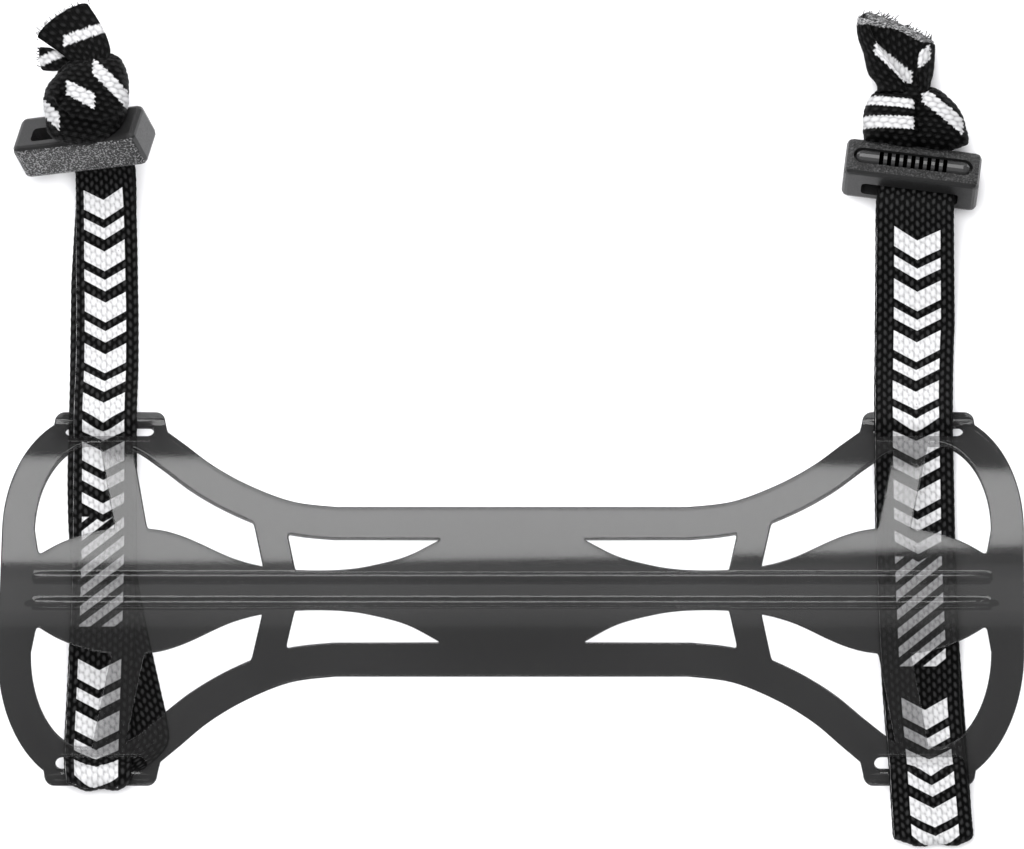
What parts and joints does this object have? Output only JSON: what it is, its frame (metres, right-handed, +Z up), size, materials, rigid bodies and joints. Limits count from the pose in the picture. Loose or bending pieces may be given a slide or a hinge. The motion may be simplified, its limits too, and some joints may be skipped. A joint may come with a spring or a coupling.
{
  "type": "arm guard",
  "caption": "Arched skeleton plate of smoked plastic that shields an archer's forearm, lying on elastic straps that run through its tab slots to strap locks and knotted ends.",
  "frame": {"origin": "on the floor under the middle of the whole guard's box, straps and knots included", "axes": "+X along the forearm and the plate's length, +Y around the forearm towards the strap locks, +Z up, away from the arm"},
  "size_m": [0.204, 0.1686, 0.0274],
  "materials": {
    "smoked_plastic": "clear dark grey, moulded gloss",
    "webbing": "ribbed black elastic with a white print",
    "black_plastic": "black with a fine moulded grain"
  },
  "bodies": {
    "root": {"guard_plate": "smoked_plastic", "left_strap": "webbing", "left_lock_body": "black_plastic", "left_lock_bar": "black_plastic", "right_strap": "webbing", "right_lock_body": "black_plastic", "right_lock_bar": "black_plastic"}
  },
  "joints": []
}
